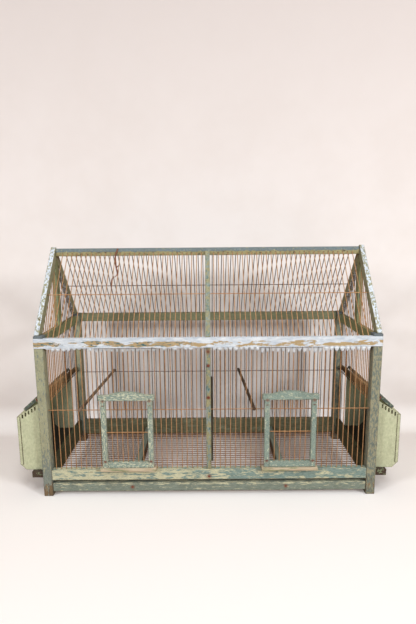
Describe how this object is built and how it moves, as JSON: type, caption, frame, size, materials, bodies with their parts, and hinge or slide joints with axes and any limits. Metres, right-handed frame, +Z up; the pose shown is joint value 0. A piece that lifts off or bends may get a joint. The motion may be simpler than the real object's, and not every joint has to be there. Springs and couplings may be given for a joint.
{
  "type": "bird cage",
  "caption": "Gabled wood and wire bird cage with sliding doors in front, perches inside and lidded sheet metal feeders at the ends.",
  "frame": {"origin": "on the ground, in the middle of the four posts (4.5 mm behind the middle of the overall box, because the door sills stand out in front)", "axes": "+X to the right seen from the front, +Y to the back, +Z up"},
  "size_m": [0.937, 0.341, 0.6091],
  "materials": {
    "eave_paint": "pale paint, chipped to tan wood and old teal",
    "ridge_paint": "worn yellow-green and blue-grey paint",
    "rafter_paint": "worn pale blue paint over green",
    "gable_paint": "worn dark green paint",
    "left_post_paint": "worn sage paint",
    "right_post_paint": "worn blue-grey green paint",
    "back_rail_paint": "worn olive paint",
    "stile_paint": "worn pale green paint",
    "bottom_rail_paint": "worn yellow-green paint over blue-green",
    "lower_rail_paint": "worn blue-green paint",
    "board_paint": "dark olive paint, stained",
    "joist_wood": "dark stained wood with paint left on it",
    "hinge_board_wood": "rust-stained bare wood",
    "sill_wood": "bare tan wood",
    "door_paint": "speckled pale blue-green paint",
    "feeder_paint": "worn sage paint on sheet metal",
    "lid_paint": "worn pale paint",
    "block_wood": "worn painted wood",
    "rusty_wire": "rusty drawn wire",
    "floor_wire": "rusty drawn wire, stained",
    "perch_wood": "bare turned dowel, worn",
    "rusty_iron": "rusty iron"
  },
  "bodies": {
    "cage": {"back_bottom_board": "board_paint", "back_eave_rail": "back_rail_paint", "back_left_post": "left_post_paint", "back_left_rafter": "rafter_paint", "back_right_post": "right_post_paint", "back_right_rafter": "rafter_paint", "back_roof_wires": "rusty_wire", "back_wires": "rusty_wire", "divider_batten": "stile_paint", "floor_wires": "floor_wire", "frame_nails": "rusty_iron", "front_bottom_rail": "bottom_rail_paint", "front_centre_stile": "stile_paint", "front_eave_rail": "eave_paint", "front_left_post": "left_post_paint", "front_left_rafter": "rafter_paint", "front_lower_rail": "lower_rail_paint", "front_right_post": "right_post_paint", "front_right_rafter": "rafter_paint", "front_roof_rib": "stile_paint", "front_roof_wires": "rusty_wire", "front_wires": "rusty_wire", "left_door_sill": "sill_wood", "left_end_board": "board_paint", "left_end_wires": "rusty_wire", "left_floor_joist": "joist_wood", "left_hinge_board": "hinge_board_wood", "left_hopper_block": "block_wood", "left_hopper_box": "feeder_paint", "left_king_post": "gable_paint", "left_lid_pin": "rusty_iron", "left_perch": "perch_wood", "left_tie_rail": "gable_paint", "ridge_beam": "ridge_paint", "right_door_sill": "sill_wood", "right_end_board": "board_paint", "right_end_wires": "rusty_wire", "right_floor_joist": "joist_wood", "right_hinge_board": "hinge_board_wood", "right_hopper_block": "block_wood", "right_hopper_box": "feeder_paint", "right_king_post": "gable_paint", "right_lid_pin": "rusty_iron", "right_perch": "perch_wood", "right_tie_rail": "gable_paint", "stile_screws": "rusty_iron"},
    "left_door": {"left_door_bottom_rail": "door_paint", "left_door_crown": "door_paint", "left_door_left_stile": "door_paint", "left_door_right_stile": "door_paint", "left_door_staples": "rusty_iron", "left_door_wires": "rusty_wire"},
    "right_door": {"right_door_bottom_rail": "door_paint", "right_door_crown": "door_paint", "right_door_left_stile": "door_paint", "right_door_right_stile": "door_paint", "right_door_staples": "rusty_iron", "right_door_wires": "rusty_wire"},
    "left_lid": {"left_hopper_lid": "lid_paint"},
    "right_lid": {"right_hopper_lid": "lid_paint"}
  },
  "joints": [
    {"name": "left_door_slide", "type": "slide", "parent": "cage", "child": "left_door", "axis": [0, 0, 1], "range_m": [0, 0.105]},
    {"name": "left_lid_hinge", "type": "hinge", "parent": "cage", "child": "left_lid", "pos_m": [-0.4165, 0, 0.248], "axis": [0, 1, 0], "range_deg": [0, 125]},
    {"name": "right_door_slide", "type": "slide", "parent": "cage", "child": "right_door", "axis": [0, 0, 1], "range_m": [0, 0.105]},
    {"name": "right_lid_hinge", "type": "hinge", "parent": "cage", "child": "right_lid", "pos_m": [0.4165, 0, 0.248], "axis": [0, -1, 0], "range_deg": [0, 125]}
  ]
}
